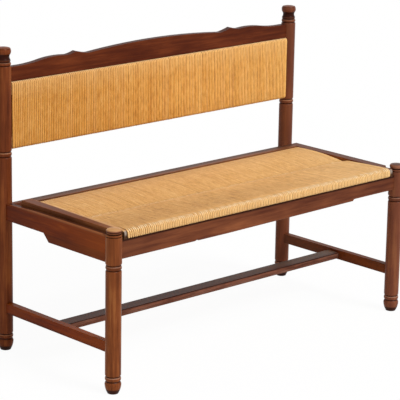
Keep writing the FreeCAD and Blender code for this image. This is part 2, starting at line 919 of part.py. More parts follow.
def crest_rail():
    """Shaped board between the finials, with a long arch between two small peaks."""
    name = "crest_rail"
    body = new_body(f"{name}_board")
    sketch = sketch_on(body, "XZ_Plane")
    end = post_x - crest_reach
    half_thick = dim.crest_thick / 2
    right = crest_top()
    draw(sketch, [(-end, crest_bottom), (end, crest_bottom)] + right + mirrored(right))
    pad(body, sketch, dim.crest_thick)
    hollows = [corner[0] for corner in right[1:] if corner[0] is not dim.crest_peak_place]
    ease(body, dim.crest_hollow_round,
         lambda middle: near(middle.y, 0) and any(near(abs(middle.x), x) for x in hollows))
    ease(body, dim.crest_peak_round,
         lambda middle: near(middle.y, 0) and near(abs(middle.x), dim.crest_peak_place))
    ease(body, dim.crest_edge_round,
         lambda middle: near(abs(middle.y), half_thick) and not near(abs(middle.x), end))
    place(body, 0, post_y, 0)
    dowels = crest_rail_dowels(-1) + crest_rail_dowels(1)
    return cut(name, body, peg_holes(name, dowels, dim.dowel_dia))


def panel_rail_bar(name, level, gap):
    """Rail that the back panel is wound on or, with a gap, the bore that it leaves."""
    radius = dim.panel_edge_round - dim.rush_thick
    bar = round_bar(name, "YZ_Plane", grown(panel_rail_thick, gap),
                    grown(dim.panel_rail_height, gap), radius + gap,
                    2 * (post_x - panel_rail_reach))
    return place(bar, 0, panel_y, panel_rail_bottom(level) + dim.panel_rail_height / 2)


def panel_rail(level):
    name = f"back_panel_{level}_rail"
    bar = panel_rail_bar(f"{name}_bar", level, 0)
    return join(name, [bar, panel_rail_tenons(f"{name}_tenons", level, 0)])


def back_rush():
    """Rush wound up and down round the two rails of the back, as one soft board."""
    name = "back_rush"
    end = post_x - post_r - dim.soft_gap
    body = round_bar(f"{name}_winding", "YZ_Plane", dim.panel_thick, dim.panel_height,
                     dim.panel_edge_round, 2 * end)
    ease(body, dim.panel_end_round, lambda middle: near(abs(middle.x), end))
    place(body, 0, panel_y, (panel_bottom + panel_top) / 2)
    bores = [panel_rail_bar(f"{name}_{level}_bore", level, dim.soft_gap)
             for level in ("top", "bottom")]
    return cut(name, body, bores)


# Seat frame


def seat_stile(label):
    """Side of the seat frame, narrowed to a nose where it passes the front post."""
    side = SIDES[label]
    name = f"seat_stile_{label}"
    body = new_body(f"{name}_board")
    sketch = sketch_on(body, "XY_Plane")
    draw(sketch, [
        (side * stile_inner, frame_front),
        (side * nose_outer, frame_front),
        (side * nose_outer, nose_back),
        (side * stile_outer, nose_back),
        (side * stile_outer, frame_back),
        (side * stile_inner, frame_back),
    ])
    pad(body, sketch, dim.frame_thick, middle=False)
    ease(body, dim.stile_notch_round,
         lambda middle: near(middle.x, side * nose_outer) and near(middle.y, nose_back))
    ease(body, dim.stile_corner_round,
         lambda middle: near(middle.x, side * stile_outer) and near(middle.y, nose_back))
    ease(body, dim.nose_round,
         lambda middle: near(middle.y, frame_front) and near(middle.z, dim.frame_thick))
    ease(body, dim.stile_edge_round,
         lambda middle: near(middle.x, side * stile_outer) and near(middle.z, dim.frame_thick))
    place(body, 0, 0, dim.bearing_height)
    dowels = front_rail_dowels(side) + rear_rail_dowels(side) + back_strip_dowels(side)
    holes = peg_holes(name, dowels, dim.frame_dowel_dia)
    return cut(name, body, holes + seat_screws(f"{name}_hole", side, dim.joint_gap))


def seat_back_strip():
    """Wood strip behind the rush, between the stiles."""
    name = "seat_back_strip"
    bar = round_bar(f"{name}_bar", "YZ_Plane", dim.back_strip_width, dim.frame_thick,
                    dim.stile_edge_round, 2 * stile_inner)
    place(bar, 0, back_strip_y, dim.bearing_height + dim.frame_thick / 2)
    dowels = back_strip_dowels(-1) + back_strip_dowels(1)
    return cut(name, bar, peg_holes(name, dowels, dim.frame_dowel_dia))


def seat_rail_bar(name, y, width, rail_height, front_round, rear_round, gap):
    """Rail that the seat is woven on or, with a gap, the bore that it leaves."""
    body = new_body(name)
    sketch = sketch_on(body, "YZ_Plane")
    front = y - width / 2 - gap
    rear = y + width / 2 + gap
    bottom = rail_bottom - gap
    top = rail_bottom + rail_height + gap
    foot = dim.roll_foot_round - dim.rush_thick + gap
    front_round = front_round + gap
    rear_round = rear_round + gap
    draw(sketch, [
        (front + foot, bottom),
        (rear - foot, bottom, quarter_bow(foot)),
        (rear, bottom + foot),
        (rear, top - rear_round, quarter_bow(rear_round)),
        (rear - rear_round, top),
        (front + front_round, top, quarter_bow(front_round)),
        (front, top - front_round),
        (front, bottom + foot, quarter_bow(foot)),
    ])
    pad(body, sketch, 2 * stile_inner)
    return body


def front_rail_bar(name, gap):
    return seat_rail_bar(name, front_rail_y, dim.front_rail_width, dim.front_rail_height,
                         dim.front_roll_round - dim.rush_thick,
                         dim.roll_foot_round - dim.rush_thick, gap)


def rear_rail_bar(name, gap):
    return seat_rail_bar(name, rear_rail_y, dim.rear_rail_width, dim.rear_rail_height,
                         dim.roll_foot_round - dim.rush_thick,
                         dim.rear_roll_round - dim.rush_thick, gap)


def seat_front_rail():
    name = "seat_front_rail"
    dowels = front_rail_dowels(-1) + front_rail_dowels(1)
    return cut(name, front_rail_bar(f"{name}_bar", 0),
               peg_holes(name, dowels, dim.frame_dowel_dia))


def seat_rear_rail():
    name = "seat_rear_rail"
    dowels = rear_rail_dowels(-1) + rear_rail_dowels(1)
    return cut(name, rear_rail_bar(f"{name}_bar", 0),
               peg_holes(name, dowels, dim.frame_dowel_dia))


def seat_rush():
    """Woven rush round the front and rear rails, drawn in along one lengthwise crease."""
    name = "seat_rush"
    body = new_body(f"{name}_weave")
    sketch = sketch_on(body, "YZ_Plane")
    front_top = rail_bottom + dim.front_rail_height + dim.rush_thick
    rear_top = rail_bottom + dim.rear_rail_height + dim.rush_thick
    foot = dim.roll_foot_round
    front_round = dim.front_roll_round
    rear_round = dim.rear_roll_round
    draw(sketch, [
        (rush_front + foot, rush_bottom),
        (-dim.crease_place, rush_bottom + dim.crease_floor_rise),
        (rush_rear - foot, rush_bottom, quarter_bow(foot)),
        (rush_rear, rush_bottom + foot),
        (rush_rear, rear_top - rear_round, quarter_bow(rear_round)),
        (rush_rear - rear_round, rear_top, dim.rear_crown_bow),
        (-dim.crease_place, front_top - dim.crease_depth),
        (-dim.crease_place - dim.crease_wall, front_top - dim.crease_lip_depth,
         dim.front_crown_bow),
        (rush_front + front_round, front_top, quarter_bow(front_round)),
        (rush_front, front_top - front_round),
        (rush_front, rush_bottom + foot, quarter_bow(foot)),
    ])
    pad(body, sketch, 2 * (stile_inner - dim.soft_gap))
    return cut(name, body, [
        front_rail_bar(f"{name}_front_bore", dim.soft_gap),
        rear_rail_bar(f"{name}_rear_bore", dim.soft_gap),
    ])


# Ledgers and screws


def screw(name, head, axis, length, gap):
    """Countersunk screw or, with a gap, its hole; the flat of the head is at a point."""
    shank_r = dim.screw_dia / 2 + gap
    shank = rod(f"{name}_shank", axis, head, 2 * shank_r, length + gap)
    cone = doc.addObject("Part::Cone", f"{name}_head")
    bind(cone, Radius1=dim.screw_head_dia / 2 + gap, Radius2=shank_r,
         Height=dim.screw_head_height)
    cone.Placement.Rotation = TURNS[axis]
    place(cone, *head)
    return join(name, [shank, cone])


def ledger_screws(name, side, gap):
    """Screws from a ledger's inner face into its side apron."""
    axis = "+x" if side > 0 else "-x"
    height = dim.bearing_height - dim.ledger_height / 2
    reach = ledger_length / 2 - dim.ledger_screw_inset
    screws = []
    for number, share in enumerate((-3, -1, 1, 3), start=1):
        head = (side * ledger_inner, ledger_middle + reach * share / 3, height)
        screws.append(screw(f"{name}_{number}", head, axis, dim.ledger_screw_length, gap))
    return screws


def seat_screws(name, side, gap):
    """Screws up through a ledger into the stile that lies on it."""
    x = side * (ledger_inner + ledger_outer) / 2
    bottom = dim.bearing_height - dim.ledger_height
    reach = ledger_length / 2 - dim.ledger_screw_inset
    screws = []
    for number, share in enumerate((-2, 2), start=1):
        head = (x, ledger_middle + reach * share / 3, bottom)
        screws.append(screw(f"{name}_{number}", head, "+z", dim.seat_screw_length, gap))
    return screws


def seat_ledger(label):
    """Strip on a side apron that carries the seat frame."""
    side = SIDES[label]
    name = f"seat_ledger_{label}"
    centre = (side * (ledger_inner + ledger_outer) / 2, ledger_middle,
              dim.bearing_height - dim.ledger_height / 2)
    strip = block(f"{name}_strip", centre, (dim.ledger_width, ledger_length, dim.ledger_height))
    holes = ledger_screws(f"{name}_side_hole", side, dim.joint_gap)
    return cut(name, strip, holes + seat_screws(f"{name}_seat_hole", side, dim.joint_gap))


# Dowels and screws as nodes


def both_ends(dowels_at):
    return dowels_at(-1) + dowels_at(1)


def apron_dowels():
    joints = (front_apron_dowels, back_apron_dowels, side_apron_front_dowels,
              side_apron_back_dowels)
    return pegs("apron_dowels", sum(map(both_ends, joints), []), dim.dowel_dia)


def crest_dowels():
    return pegs("crest_dowels", both_ends(crest_rail_dowels), dim.dowel_dia)


def seat_frame_dowels():
    joints = (front_rail_dowels, rear_rail_dowels, back_strip_dowels)
    return pegs("seat_frame_dowels", sum(map(both_ends, joints), []), dim.frame_dowel_dia)


def screw_group(name, screws_at):
    pieces = screws_at(f"{name}_left", -1, 0) + screws_at(f"{name}_right", 1, 0)
    return group(name, pieces)


def build():
    nodes = []
    for label in SIDES:
        nodes += [front_post(label), back_post(label), side_apron(label), end_stretcher(label)]
        nodes += [seat_stile(label), seat_ledger(label)]
    nodes += [front_apron(), back_apron(), long_stretcher(), crest_rail()]
    nodes += [panel_rail("top"), panel_rail("bottom"), back_rush()]
    nodes += [seat_back_strip(), seat_front_rail(), seat_rear_rail(), seat_rush()]
    nodes += [apron_dowels(), crest_dowels(), seat_frame_dowels()]
    nodes += [screw_group("ledger_screws", ledger_screws)]
    nodes += [screw_group("seat_screws", seat_screws)]
    return nodes


def check(nodes):
    """Stop if anything in the document failed or a piece isn't a sound solid."""
    for thing in doc.Objects:
        failed = {"Invalid", "Error"} & set(thing.State)
        if failed:
            raise RuntimeError(f"{thing.Name} is {sorted(failed)}")
    for node in nodes:
        shape = node.Shape
        if shape.isNull() or not shape.isValid() or not shape.Solids:
            raise RuntimeError(f"{node.Label} is not a sound solid")
        print(f"{node.Label}: {len(shape.Solids)} solid(s), {shape.Volume:.0f} cubic millimetres")


def write(nodes):
    os.makedirs("parts", exist_ok=True)
    for node in nodes:
        node.Shape.exportStep(f"parts/{node.Label}.step")


bench_nodes = build()
doc.recompute()
check(bench_nodes)
write(bench_nodes)
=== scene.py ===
import math

import bpy
import numpy as np
from mathutils import Matrix, Vector


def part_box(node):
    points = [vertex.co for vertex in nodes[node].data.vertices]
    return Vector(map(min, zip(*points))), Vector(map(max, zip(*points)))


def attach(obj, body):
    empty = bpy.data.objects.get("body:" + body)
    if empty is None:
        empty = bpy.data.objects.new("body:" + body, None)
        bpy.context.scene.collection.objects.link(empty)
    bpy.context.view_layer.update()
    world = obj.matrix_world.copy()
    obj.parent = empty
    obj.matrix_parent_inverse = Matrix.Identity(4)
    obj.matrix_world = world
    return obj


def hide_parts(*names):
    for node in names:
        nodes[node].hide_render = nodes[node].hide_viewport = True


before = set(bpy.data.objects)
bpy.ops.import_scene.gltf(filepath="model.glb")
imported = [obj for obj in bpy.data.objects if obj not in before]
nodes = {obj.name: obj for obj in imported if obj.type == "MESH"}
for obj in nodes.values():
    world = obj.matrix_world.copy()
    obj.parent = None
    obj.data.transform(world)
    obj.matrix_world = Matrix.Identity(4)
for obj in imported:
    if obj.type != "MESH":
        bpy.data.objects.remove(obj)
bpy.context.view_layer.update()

chance = np.random.default_rng(84)

MM = 0.001
SIDES = ("left", "right")

# Rush cord, and how finely its path and its section are drawn
CORD_WIDTH = 6.6 * MM
CORD_THICK = 4.2 * MM
CORD_SIDES = 10
PATH_STEP = 40 * MM
ARC_STEP = math.radians(18)

# Turns are this much wider than their share of the length, so that nothing shows between them.
OVERLAP = 1.02

# Turns differ in width by this share, and in depth by this much. One in twenty is much darker.
WIDTH_SPREAD = 0.08
DEPTH_SPREAD = 0.2 * MM
DARK_TURNS = 0.05
DARKER = 0.9

# All turns of a cord share a shallow wave along X, of so many radians to the metre across and up.
WAVE = 0.35 * MM
WAVE_ACROSS = 55
WAVE_UP = 31

# Line where the seat's front and rear halves cross, as across and up
CREASE = np.array([-58, 451.5]) * MM


# Meshes


def surface(name, points, quads, ends):
    """Smooth closed mesh from points, quads and two end faces, turned so that its volume is positive."""
    corners = points[quads]
    middle = points.mean(axis=0)
    across = np.cross(corners[:, 2] - corners[:, 0], corners[:, 3] - corners[:, 1])
    if ((corners.mean(axis=1) - middle) * across).sum() < 0:
        quads = quads[:, ::-1]
        ends = [end[::-1] for end in ends]
    mesh = bpy.data.meshes.new(name)
    mesh.from_pydata(points.tolist(), [], quads.tolist() + [end.tolist() for end in ends])
    mesh.polygons.foreach_set("use_smooth", np.ones(len(mesh.polygons), bool))
    piece = bpy.data.objects.new(name, mesh)
    bpy.context.scene.collection.objects.link(piece)
    return piece


def rounded_loop(corners):
    """Closed path through (across, up, radius) corners, as points at most PATH_STEP apart.

    A corner with radius r that turns by t starts its arc r * tan(t / 2) before the corner. Point i of n on
    the arc lies at centre + r * (cos, sin)(start + t * i / n).
    """
    spots = np.array([corner[:2] for corner in corners], float)
    path = []
    for here, corner in enumerate(corners):
        radius = corner[2]
        before = spots[here] - spots[here - 1]
        after = spots[(here + 1) % len(spots)] - spots[here]
        before, after = before / np.linalg.norm(before), after / np.linalg.norm(after)
        turn = math.atan2(before[0] * after[1] - before[1] * after[0], before @ after)
        if radius == 0 or abs(turn) < math.radians(1):
            path.append(spots[here:here + 1])
            continue
        count = math.ceil(abs(turn) / ARC_STEP)
        side = math.copysign(1, turn)
        start = spots[here] - before * radius * math.tan(abs(turn) / 2)
        centre = start + side * radius * np.array([-before[1], before[0]])
        first = math.atan2(*(start - centre)[::-1])
        angle = first + turn * np.arange(count + 1) / count
        path.append(centre + radius * np.stack([np.cos(angle), np.sin(angle)], axis=1))
    path = np.concatenate(path)
    onward = np.roll(path, -1, axis=0)
    pieces = np.ceil(np.linalg.norm(onward - path, axis=1) / PATH_STEP).astype(int)
    return np.concatenate([
        start + (end - start) * (np.arange(count) / count)[:, None]
        for start, end, count in zip(path, onward, pieces)])


def prism(name, corners, low_x, high_x):
    """Closed straight piece along X with the section given by (across, up) corners."""
    section = np.array(corners, float)
    count = len(section)
    points = np.concatenate([np.c_[np.full(count, x), section] for x in (low_x, high_x)])
    first = np.arange(count)
    second = np.roll(first, -1)
    quads = np.stack([first, second, second + count, first + count], axis=1)
    piece = surface(name, points, quads, [first[::-1], first + count])
    piece.data.polygons.foreach_set("use_smooth", np.zeros(len(piece.data.polygons), bool))
    return piece


def store(piece, name, values):
    """Keeps one number for each vertex under a name that the material reads."""
    attribute = piece.data.attributes.new(name, "FLOAT", "POINT")
    attribute.data.foreach_set("value", values.astype(np.float32))


def upright(x, across, up):
    """No lean."""
    return 0 * x


def wound_cord(name, loop, half_length, squeeze, shrink, lean=upright):
    """One cord wound round loop, turn beside turn, from -half_length to half_length along X.

    Point i of turn k stands at x = start[k] + width[k] * i / n, kept half a cord inside both ends, so that
    the first turn and the last run straight round against the frame. Across and up it stands at loop[i],
    moved inward by shrink(x) * squeeze[i] ** 8 and by the turn's own depth, from 0 to twice DEPTH_SPREAD.
    Along X it moves by WAVE * sin(WAVE_ACROSS * across + WAVE_UP * up + a random start), the same for all
    turns, and by lean at that point.
    The section is an ellipse: OVERLAP * width[k] * squeeze[i] wide along X, and CORD_THICK / sqrt(squeeze[i])
    thick square to the path.
    """
    count = len(loop)
    turns = round(2 * half_length / CORD_WIDTH) + 1
    width = 1 + WIDTH_SPREAD * chance.uniform(-1, 1, turns)
    width *= (2 * half_length + CORD_WIDTH) / width.sum()
    start = np.concatenate([[0], np.cumsum(width)[:-1]]) - half_length - CORD_WIDTH / 2
    furthest = half_length - CORD_WIDTH / 2
    x = np.clip((start[:, None] + width[:, None] * np.arange(count) / count).ravel(), -furthest, furthest)

    onward = np.roll(loop, -1, axis=0)
    tangent = onward - np.roll(loop, 1, axis=0)
    tangent /= np.linalg.norm(tangent, axis=1)[:, None]
    normal = np.stack([-tangent[:, 1], tangent[:, 0]], axis=1)
    wave = WAVE * np.sin(loop @ (WAVE_ACROSS, WAVE_UP) + chance.uniform(0, 6.3))
    own_depth = DEPTH_SPREAD * (1 + chance.uniform(-1, 1, (turns, 1)))
    inward = np.sign(((loop.mean(axis=0) - loop) * normal).sum(axis=1))
    depth = shrink(x).reshape(turns, count) * squeeze ** 8 + own_depth
    line = (loop + (depth * inward)[..., None] * normal).reshape(-1, 2)
    centre = np.c_[x + np.tile(wave, turns), line]
    centre[:, 0] += lean(x, *np.tile(loop, (turns, 1)).T)

    angle = 2 * math.pi * np.arange(CORD_SIDES) / CORD_SIDES
    half_width = OVERLAP / 2 * np.repeat(width, count) * np.tile(squeeze, turns)
    half_thick = CORD_THICK / 2 / np.tile(np.sqrt(squeeze), turns)
    points = np.repeat(centre[:, None], CORD_SIDES, axis=1)
    points[..., 0] += half_width[:, None] * np.cos(angle)
    rise = half_thick[:, None] * np.sin(angle)
    points[..., 1:] += rise[..., None] * np.tile(normal, (turns, 1))[:, None]
    rows = len(centre)
    ring = np.arange(CORD_SIDES)
    base = np.arange(rows - 1)[:, None] * CORD_SIDES
    first, second = base + ring, base + np.roll(ring, -1)
    quads = np.stack([first, second, second + CORD_SIDES, first + CORD_SIDES], axis=2).reshape(-1, 4)
    piece = surface(name, points.reshape(-1, 3), quads, [ring[::-1], (rows - 1) * CORD_SIDES + ring])

    # Each turn has its own tone, much darker in a few turns, and its own hue.
    tone = chance.uniform(0, 1, turns) - DARKER * (chance.random(turns) < DARK_TURNS)
    store(piece, "turn_tone", np.repeat(tone, count * CORD_SIDES))
    store(piece, "turn_hue", np.repeat(chance.uniform(0, 1, turns), count * CORD_SIDES))
    step = np.linalg.norm(onward - loop, axis=1)
    along = np.concatenate([[0], np.cumsum(step)[:-1]])
    length = np.tile(along, turns) + np.repeat(np.arange(turns), count) * step.sum()
    store(piece, "cord_length", np.repeat(length, CORD_SIDES))
    store(piece, "cord_flank", np.tile(np.abs(np.cos(angle)), rows))
    return piece


# Shader nodes


def linear(code):
    """Linear RGBA of an sRGB hex colour: c / 12.92 up to 0.04045, else ((c + 0.055) / 1.055) ** 2.4."""
    parts = np.array([int(code[i:i + 2], 16) for i in (0, 2, 4)]) / 255
    low = parts / 12.92
    high = ((parts + 0.055) / 1.055) ** 2.4
    return tuple(np.where(parts <= 0.04045, low, high)) + (1.0,)


def add(tree, kind, inputs=None, **settings):
    """One shader node, with its settings, and its inputs linked or set."""
    node = tree.nodes.new("ShaderNode" + kind)
    for name, value in settings.items():
        setattr(node, name, value)
    for name, value in (inputs or {}).items():
        if isinstance(value, bpy.types.NodeSocket):
            tree.links.new(value, node.inputs[name])
        else:
            node.inputs[name].default_value = value
    return node


def new_material(name):
    """Empty material and its node tree."""
    material = bpy.data.materials.new(name)
    material.use_nodes = True
    material.node_tree.nodes.clear()
    return material, material.node_tree


def ramp(tree, amount, stops):
    """Colour ramp over (place, hex colour) stops."""
    node = add(tree, "ValToRGB", {"Fac": amount})
    elements = node.color_ramp.elements
    while len(elements) < len(stops):
        elements.new(1.0)
    for element, (place, code) in zip(elements, stops):
        element.position = place
        element.color = linear(code)
    return node.outputs["Color"]


def stretched(tree, along, share):
    """Object coordinates with the axis along shortened to share, so that noise draws streaks that way."""
    place = add(tree, "TexCoord").outputs["Object"]
    scale = [share if axis == along else 1.0 for axis in "XYZ"]
    return add(tree, "Mapping", {"Vector": place, "Scale": scale}).outputs["Vector"]


def noise(tree, place, scale, detail=3.0):
    """Noise from 0 to 1 with scale spots to the metre."""
    inputs = {"Vector": place, "Scale": scale, "Detail": detail, "Roughness": 0.55}
    return add(tree, "TexNoise", inputs).outputs["Fac"]


def weighed(tree, terms):
    """Sum of weight * value over (value, weight) terms."""
    total = 0.0
    for value, weight in terms:
        total = add(tree, "Math", {0: value, 1: weight, 2: total}, operation="MULTIPLY_ADD").outputs["Value"]
    return total


def centred(tree, terms):
    """The same sum about 0.5, for noises that are themselves about 0.5."""
    return weighed(tree, terms + [(1.0, 0.5 - 0.5 * sum(weight for _, weight in terms))])


def between(tree, value, low, high):
    """0 where the value is at low, 1 where it is at high, and straight in between."""
    return add(tree, "MapRange", {"Value": value, "From Min": low, "From Max": high}).outputs["Result"]


def product(tree, first, second):
    """First times second."""
    return add(tree, "Math", {0: first, 1: second}, operation="MULTIPLY").outputs["Value"]


def size_of(tree, value):
    """The value without its sign."""
    return add(tree, "Math", {0: value}, operation="ABSOLUTE").outputs["Value"]


def blended(tree, share, first, second):
    """Colour from first to second by share."""
    node = add(tree, "Mix", data_type="RGBA")
    for name, value in (("Factor_Float", share), ("A_Color", first), ("B_Color", second)):
        socket = next(item for item in node.inputs if item.identifier == name)
        if isinstance(value, bpy.types.NodeSocket):
            tree.links.new(value, socket)
        else:
            socket.default_value = value
    return next(item for item in node.outputs if item.identifier == "Result_Color")


def axes(tree):
    """X, Y and Z of the object coordinates, in metres."""
    return add(tree, "SeparateXYZ", {"Vector": add(tree, "TexCoord").outputs["Object"]}).outputs


# Marks
# A mark is a function that draws in a node tree where it lies, from 0 to 1. All its lengths are in mm.


def past(axis, start, end):
    """Mark that rises from 0 at start to 1 at end along an axis."""
    return lambda tree: between(tree, axes(tree)[axis], start * MM, end * MM)


def outward(start, end):
    """Mark that rises from 0 to 1 between two distances from the bench's middle plane."""
    return lambda tree: between(tree, size_of(tree, axes(tree)["X"]), start * MM, end * MM)


def under_top(node, start, end):
    """Mark that rises from 0 to 1 between two depths under the top of a CAD node."""
    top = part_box(node)[1].z / MM
    return past("Z", top - start, top - end)


def behind_front(node, start, end):
    """Mark that rises from 0 to 1 between two distances behind the front of a CAD node."""
    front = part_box(node)[0].y / MM
    return past("Y", front + start, front + end)


def both(*marks):
    """Mark that is the product of others."""
    def share(tree):
        total = 1.0
        for mark in marks:
            total = product(tree, mark(tree), total)
        return total
    return share


def band(low, high):
    """Mark that is 1 between two heights, with soft edges."""
    return both(past("Z", low - 0.4, low + 0.4), past("Z", high + 0.4, high - 0.4))


def grain(along, share, scale, low, high):
    """Mark in streaks along an axis, which rises where noise, scale to the metre, goes from low to high."""
    return lambda tree: between(tree, noise(tree, stretched(tree, along, share), scale), low, high)


def top_and_bottom(node):
    """Mark that is 0 on the front and the back of a board along X, 1 on all else of it."""
    low, high = (corner.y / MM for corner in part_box(node))
    return both(past("Y", low + 0.3, low + 1.5), past("Y", high - 0.3, high - 1.5))


def in_groove(top):
    """Mark that is 1 in the coves of the posts below top, 0 on their shafts.

    It goes by the square of the distance from the nearest post's axis, x ** 2 + y ** 2, and rises from 0.7 mm
    to 2.3 mm under the shaft's surface.
    """
    middle = sum(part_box("back_post_right"), Vector()) / 2
    shaft = 22.5 * MM

    def share(tree):
        place = axes(tree)
        across = weighed(tree, [(size_of(tree, place["X"]), 1.0), (1.0, -middle.x)])
        deep = weighed(tree, [(size_of(tree, place["Y"]), 1.0), (1.0, -middle.y)])
        squared = weighed(tree, [(product(tree, across, across), 1.0), (product(tree, deep, deep), 1.0)])
        cove = between(tree, squared, (shaft - 0.7 * MM) ** 2, (shaft - 2.3 * MM) ** 2)
        return product(tree, cove, past("Z", top + 0.3, top - 0.3)(tree))
    return share


def worn_wedge(tree):
    """Mark on the inner edge of the left stile, a wedge that is nothing at the back and 14 mm wide in front.

    It is 1 on the inner side of the line x = start + slope * y.
    """
    start, slope = -536.2 * MM, 0.036
    place = axes(tree)
    over = weighed(tree, [(place["X"], 1.0), (place["Y"], -slope), (1.0, -start)])
    return product(tree, between(tree, over, -1.5 * MM, 0.5 * MM), on_left(tree))


on_left = past("X", 0, -1)
on_right = past("X", 0, 1)
in_front = past("Y", 0, -1)


# Materials

# Streaks 11 mm apart and clouds of stain 60 mm wide, in spots to the metre. Real pores lie 0.1 mm apart:
# they are drawn 1.5 mm apart, so that they show.
WOOD_STREAKS = 90
WOOD_PORES = 650
WOOD_CLOUDS = 17

# Dashes of dry leaf 24 mm long, patches 17 mm and clouds 90 mm wide, in spots to the metre. Real fibres
# are 0.3 mm apart: they are drawn 3 mm apart, so that they show.
RUSH_DASHES = 42
RUSH_PATCHES = 60
RUSH_CLOUDS = 11
RUSH_FIBRES = 330
TWIST_PITCH = 9 * MM


def marked(tree, colour, marks):
    """The colour turned, by each (mark, share, hex colour) in its place, towards another."""
    for mark, share, code in marks:
        colour = blended(tree, product(tree, mark(tree), share), colour, linear(code))
    return colour


def finished(material, tree, colour, roughness, specular, bump):
    """The material, with a shader of that colour, roughness, specular level and bump."""
    shader = add(tree, "BsdfPrincipled", {
        "Base Color": colour, "Roughness": roughness, "Specular IOR Level": specular,
        "Normal": bump.outputs["Normal"]})
    add(tree, "OutputMaterial", {"Surface": shader.outputs["BSDF"]})
    return material


def wood(name, along, stops, rough, marks=()):
    """Wood with streaks, pores and clouds of stain along one axis, rougher where the streaks are pale."""
    material, tree = new_material(name)
    streaks = noise(tree, stretched(tree, along, 0.05), WOOD_STREAKS, 4.0)
    pores = noise(tree, stretched(tree, along, 0.03), WOOD_PORES, 2.0)
    clouds = noise(tree, stretched(tree, along, 0.4), WOOD_CLOUDS)
    amount = centred(tree, [(streaks, 0.8), (pores, 0.35), (clouds, 0.6)])
    colour = marked(tree, ramp(tree, amount, stops), marks)
    shine = add(tree, "MapRange", {"Value": streaks, "To Min": rough - 0.08, "To Max": rough + 0.12})
    bump = add(tree, "Bump", {"Height": pores, "Strength": 0.25, "Distance": 0.2 * MM})
    return finished(material, tree, colour, shine.outputs["Result"], 0.06, bump)


def rush(name, along, stops, marks, roll, groove_range):
    """Dry rush: each turn has its own tone, hue and dashes, and is darkest in the grooves beside it.

    A groove's darkness, partly dust and partly painted shade, goes with the dashes from the first to the
    second of groove_range, and is 0.4 more where roll is 1. The twist draws lines across the cord,
    TWIST_PITCH apart.
    """
    material, tree = new_material(name)
    turn, hue, length, flank = (
        add(tree, "Attribute", attribute_name=stored).outputs["Fac"]
        for stored in ("turn_tone", "turn_hue", "cord_length", "cord_flank"))
    fibres = noise(tree, stretched(tree, along, 0.14), RUSH_FIBRES)
    patches = noise(tree, stretched(tree, along, 0.4), RUSH_PATCHES, 2.0)
    # Each turn draws its dashes from another place of the noise, up to 40 m away.
    own_place = add(tree, "CombineXYZ", {"X": product(tree, hue, 40.0), "Y": length}).outputs["Vector"]
    dashes = noise(tree, own_place, RUSH_DASHES, 2.0)
    clouds = noise(tree, stretched(tree, along, 0.7), RUSH_CLOUDS, 2.0)
    amount = centred(tree, [(turn, 0.1), (fibres, 0.6), (patches, 0.2), (clouds, 0.12), (dashes, -0.3)])
    # Turns with a high hue are a little paler.
    pale_turns = product(tree, between(tree, hue, 0.55, 0.85), 0.12)
    colour = blended(tree, pale_turns, ramp(tree, amount, stops), linear("e3b083"))
    colour = marked(tree, colour, marks)
    low, high = groove_range
    # Grooves between the turns: darker, partly from dust and partly as painted shade
    groove = weighed(tree, [(between(tree, dashes, 0.4, 0.65), high - low), (roll(tree), 0.4), (1.0, low)])
    dark = product(tree, between(tree, flank, 0.55, 1.0), groove)
    colour = blended(tree, dark, colour, linear("7d4f22"))
    angle = product(tree, length, 2 * math.pi / TWIST_PITCH)
    twist = add(tree, "Math", {0: angle}, operation="SINE").outputs["Value"]
    height = weighed(tree, [(twist, 0.25), (fibres, 0.75)])
    bump = add(tree, "Bump", {"Height": height, "Strength": 0.4, "Distance": 0.35 * MM})
    return finished(material, tree, colour, 0.5, 0.3, bump)


def plain(name, code, rough, metal=0.0):
    """One even colour."""
    material, tree = new_material(name)
    shader = add(tree, "BsdfPrincipled", {"Base Color": linear(code), "Roughness": rough, "Metallic": metal})
    add(tree, "OutputMaterial", {"Surface": shader.outputs["BSDF"]})
    return material


def dress(names, material):
    """Gives the material to each named node."""
    for name in names:
        nodes[name].data.materials.clear()
        nodes[name].data.materials.append(material)


def pair(name):
    """The names of the left and the right one, with the side in place of {}."""
    return [name.format(side) for side in SIDES]


# Turned posts
# Beech, turned, stained red brown and lacquered: it looks warm and dark, with upright grain and next to no
# gloss. The right posts look greyer. The rings carry painted highlights, and the coves are darker.

# Painted highlights on the rings: the foot ring's band, and the highlight colours of the front and back posts
foot_ring_highlight = band(46.5, 49)
front_ring_highlight = "c49a82"
back_ring_highlight = "c08a66"

front_post_stops = [(0.2, "4f2511"), (0.5, "7d4322"), (0.8, "a76a3a")]
dress(pair("front_post_{}"), wood("stained_beech_front_posts", "Z", front_post_stops, 0.3, [
    (on_right, 0.6, "6a3e32"),
    # Ring below the aprons, darker, with a painted highlight near its upper edge
    (band(357, 372), 0.4, "4a1f0f"),
    (band(367.5, 370), 0.3, front_ring_highlight),
    # Painted highlight on the foot ring
    (foot_ring_highlight, 0.4, front_ring_highlight),
    # Button: a painted highlight all over, bare on the left one's top, a painted band of shade round the left
    # one's side, and dark on the right one's top
    (under_top("front_post_left", 12.5, 11), 0.7, "96644c"),
    (both(on_left, under_top("front_post_left", 5, 2)), 0.9, "c99764"),
    (both(on_left, band(464.4, 469)), 0.9, "40190a"),
    (both(on_right, under_top("front_post_right", 3, 1)), 0.9, "4e3128"),
    (in_groove(461.6), 1.0, "35170c")]))

back_post_stops = [(0.2, "441c0d"), (0.5, "6e361b"), (0.8, "935329")]
dress(pair("back_post_{}"), wood("stained_beech_back_posts", "Z", back_post_stops, 0.3, [
    (on_right, 0.6, "6c4030"),
    # Painted highlights on the ring under the back panel, and on the finial's two
    (band(595, 597.5), 0.6, back_ring_highlight),
    (band(857.5, 859.5), 0.6, back_ring_highlight),
    (band(866, 868), 0.6, back_ring_highlight),
    # Painted highlight on the foot ring
    (foot_ring_highlight, 0.4, back_ring_highlight),
    (in_groove(899), 1.0, "31140b")]))
